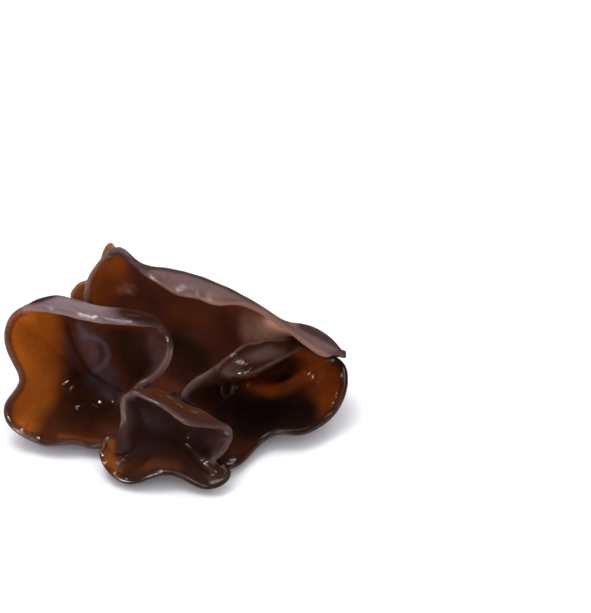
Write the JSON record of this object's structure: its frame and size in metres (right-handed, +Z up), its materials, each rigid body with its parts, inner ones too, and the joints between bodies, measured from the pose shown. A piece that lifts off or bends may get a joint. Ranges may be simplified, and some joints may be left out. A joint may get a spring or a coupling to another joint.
{
  "type": "wood ear mushroom cluster",
  "caption": "Cluster of wet, dark brown wood ear mushroom: thin cupped and folded ears growing from one small foot that is cut flat.",
  "frame": {"origin": "middle of the flat cut under the foot, at the height of the cut", "axes": "+X to the right along the cluster's longest side, +Y away from the side the cups open to, +Z up from the surface it rests on"},
  "size_m": [0.0797, 0.0542, 0.0333],
  "materials": {
    "foot_flesh": "matt, dark and rough",
    "left_ear_flesh": "wet and glossy inside, finely downy outside",
    "back_ear_flesh": "wet and glossy inside, finely downy outside",
    "right_ear_flesh": "wet and glossy inside, finely downy outside",
    "front_ear_flesh": "wet and glossy inside, finely downy outside",
    "rear_ear_flesh": "wet and glossy inside, finely downy outside"
  },
  "bodies": {
    "root": {"base": "foot_flesh", "left_ear": "left_ear_flesh", "back_ear": "back_ear_flesh", "right_ear": "right_ear_flesh", "front_ear": "front_ear_flesh", "rear_ear": "rear_ear_flesh"}
  },
  "joints": []
}
